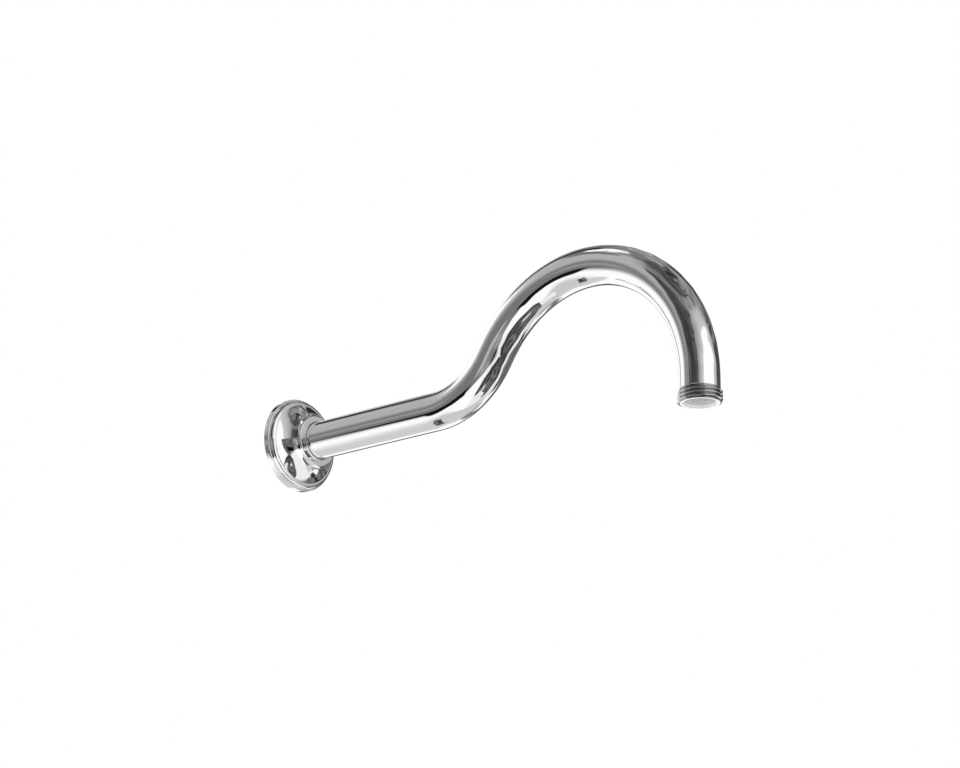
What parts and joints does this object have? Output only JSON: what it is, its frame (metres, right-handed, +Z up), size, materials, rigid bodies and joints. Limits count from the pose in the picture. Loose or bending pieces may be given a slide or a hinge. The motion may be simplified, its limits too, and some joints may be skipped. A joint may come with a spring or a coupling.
{
  "type": "shower arm",
  "caption": "Swan-neck shower arm: a bent chromed tube with a threaded wall inlet, a threaded outlet that points down and a domed cover flange that slides along the tube.",
  "frame": {"origin": "on the tube's axis in the plane of the wall face, inside the inlet thread", "axes": "+X out of the wall along the straight run, +Z up, the arm in the XZ plane and its outlet along -Z"},
  "size_m": [0.2762, 0.0474, 0.0892],
  "materials": {
    "chromed_tube": "mirror polished chrome on brass",
    "chromed_nipple": "bright chrome on turned brass",
    "chromed_flange": "mirror polished chrome on brass",
    "black_rubber": "matt black"
  },
  "bodies": {
    "arm": {"arm_tube": "chromed_tube", "inlet_nipple": "chromed_nipple", "outlet_nipple": "chromed_nipple"},
    "ring": {"flange_o_ring": "black_rubber"},
    "flange": {"wall_flange": "chromed_flange"}
  },
  "joints": [
    {"name": "flange_slide", "type": "slide", "parent": "arm", "child": "ring", "axis": [1, 0, 0], "range_m": [0, 0.0785]},
    {"name": "flange_turn", "type": "hinge", "parent": "ring", "child": "flange", "pos_m": [0, 0, 0], "axis": [1, 0, 0], "continuous": true}
  ]
}
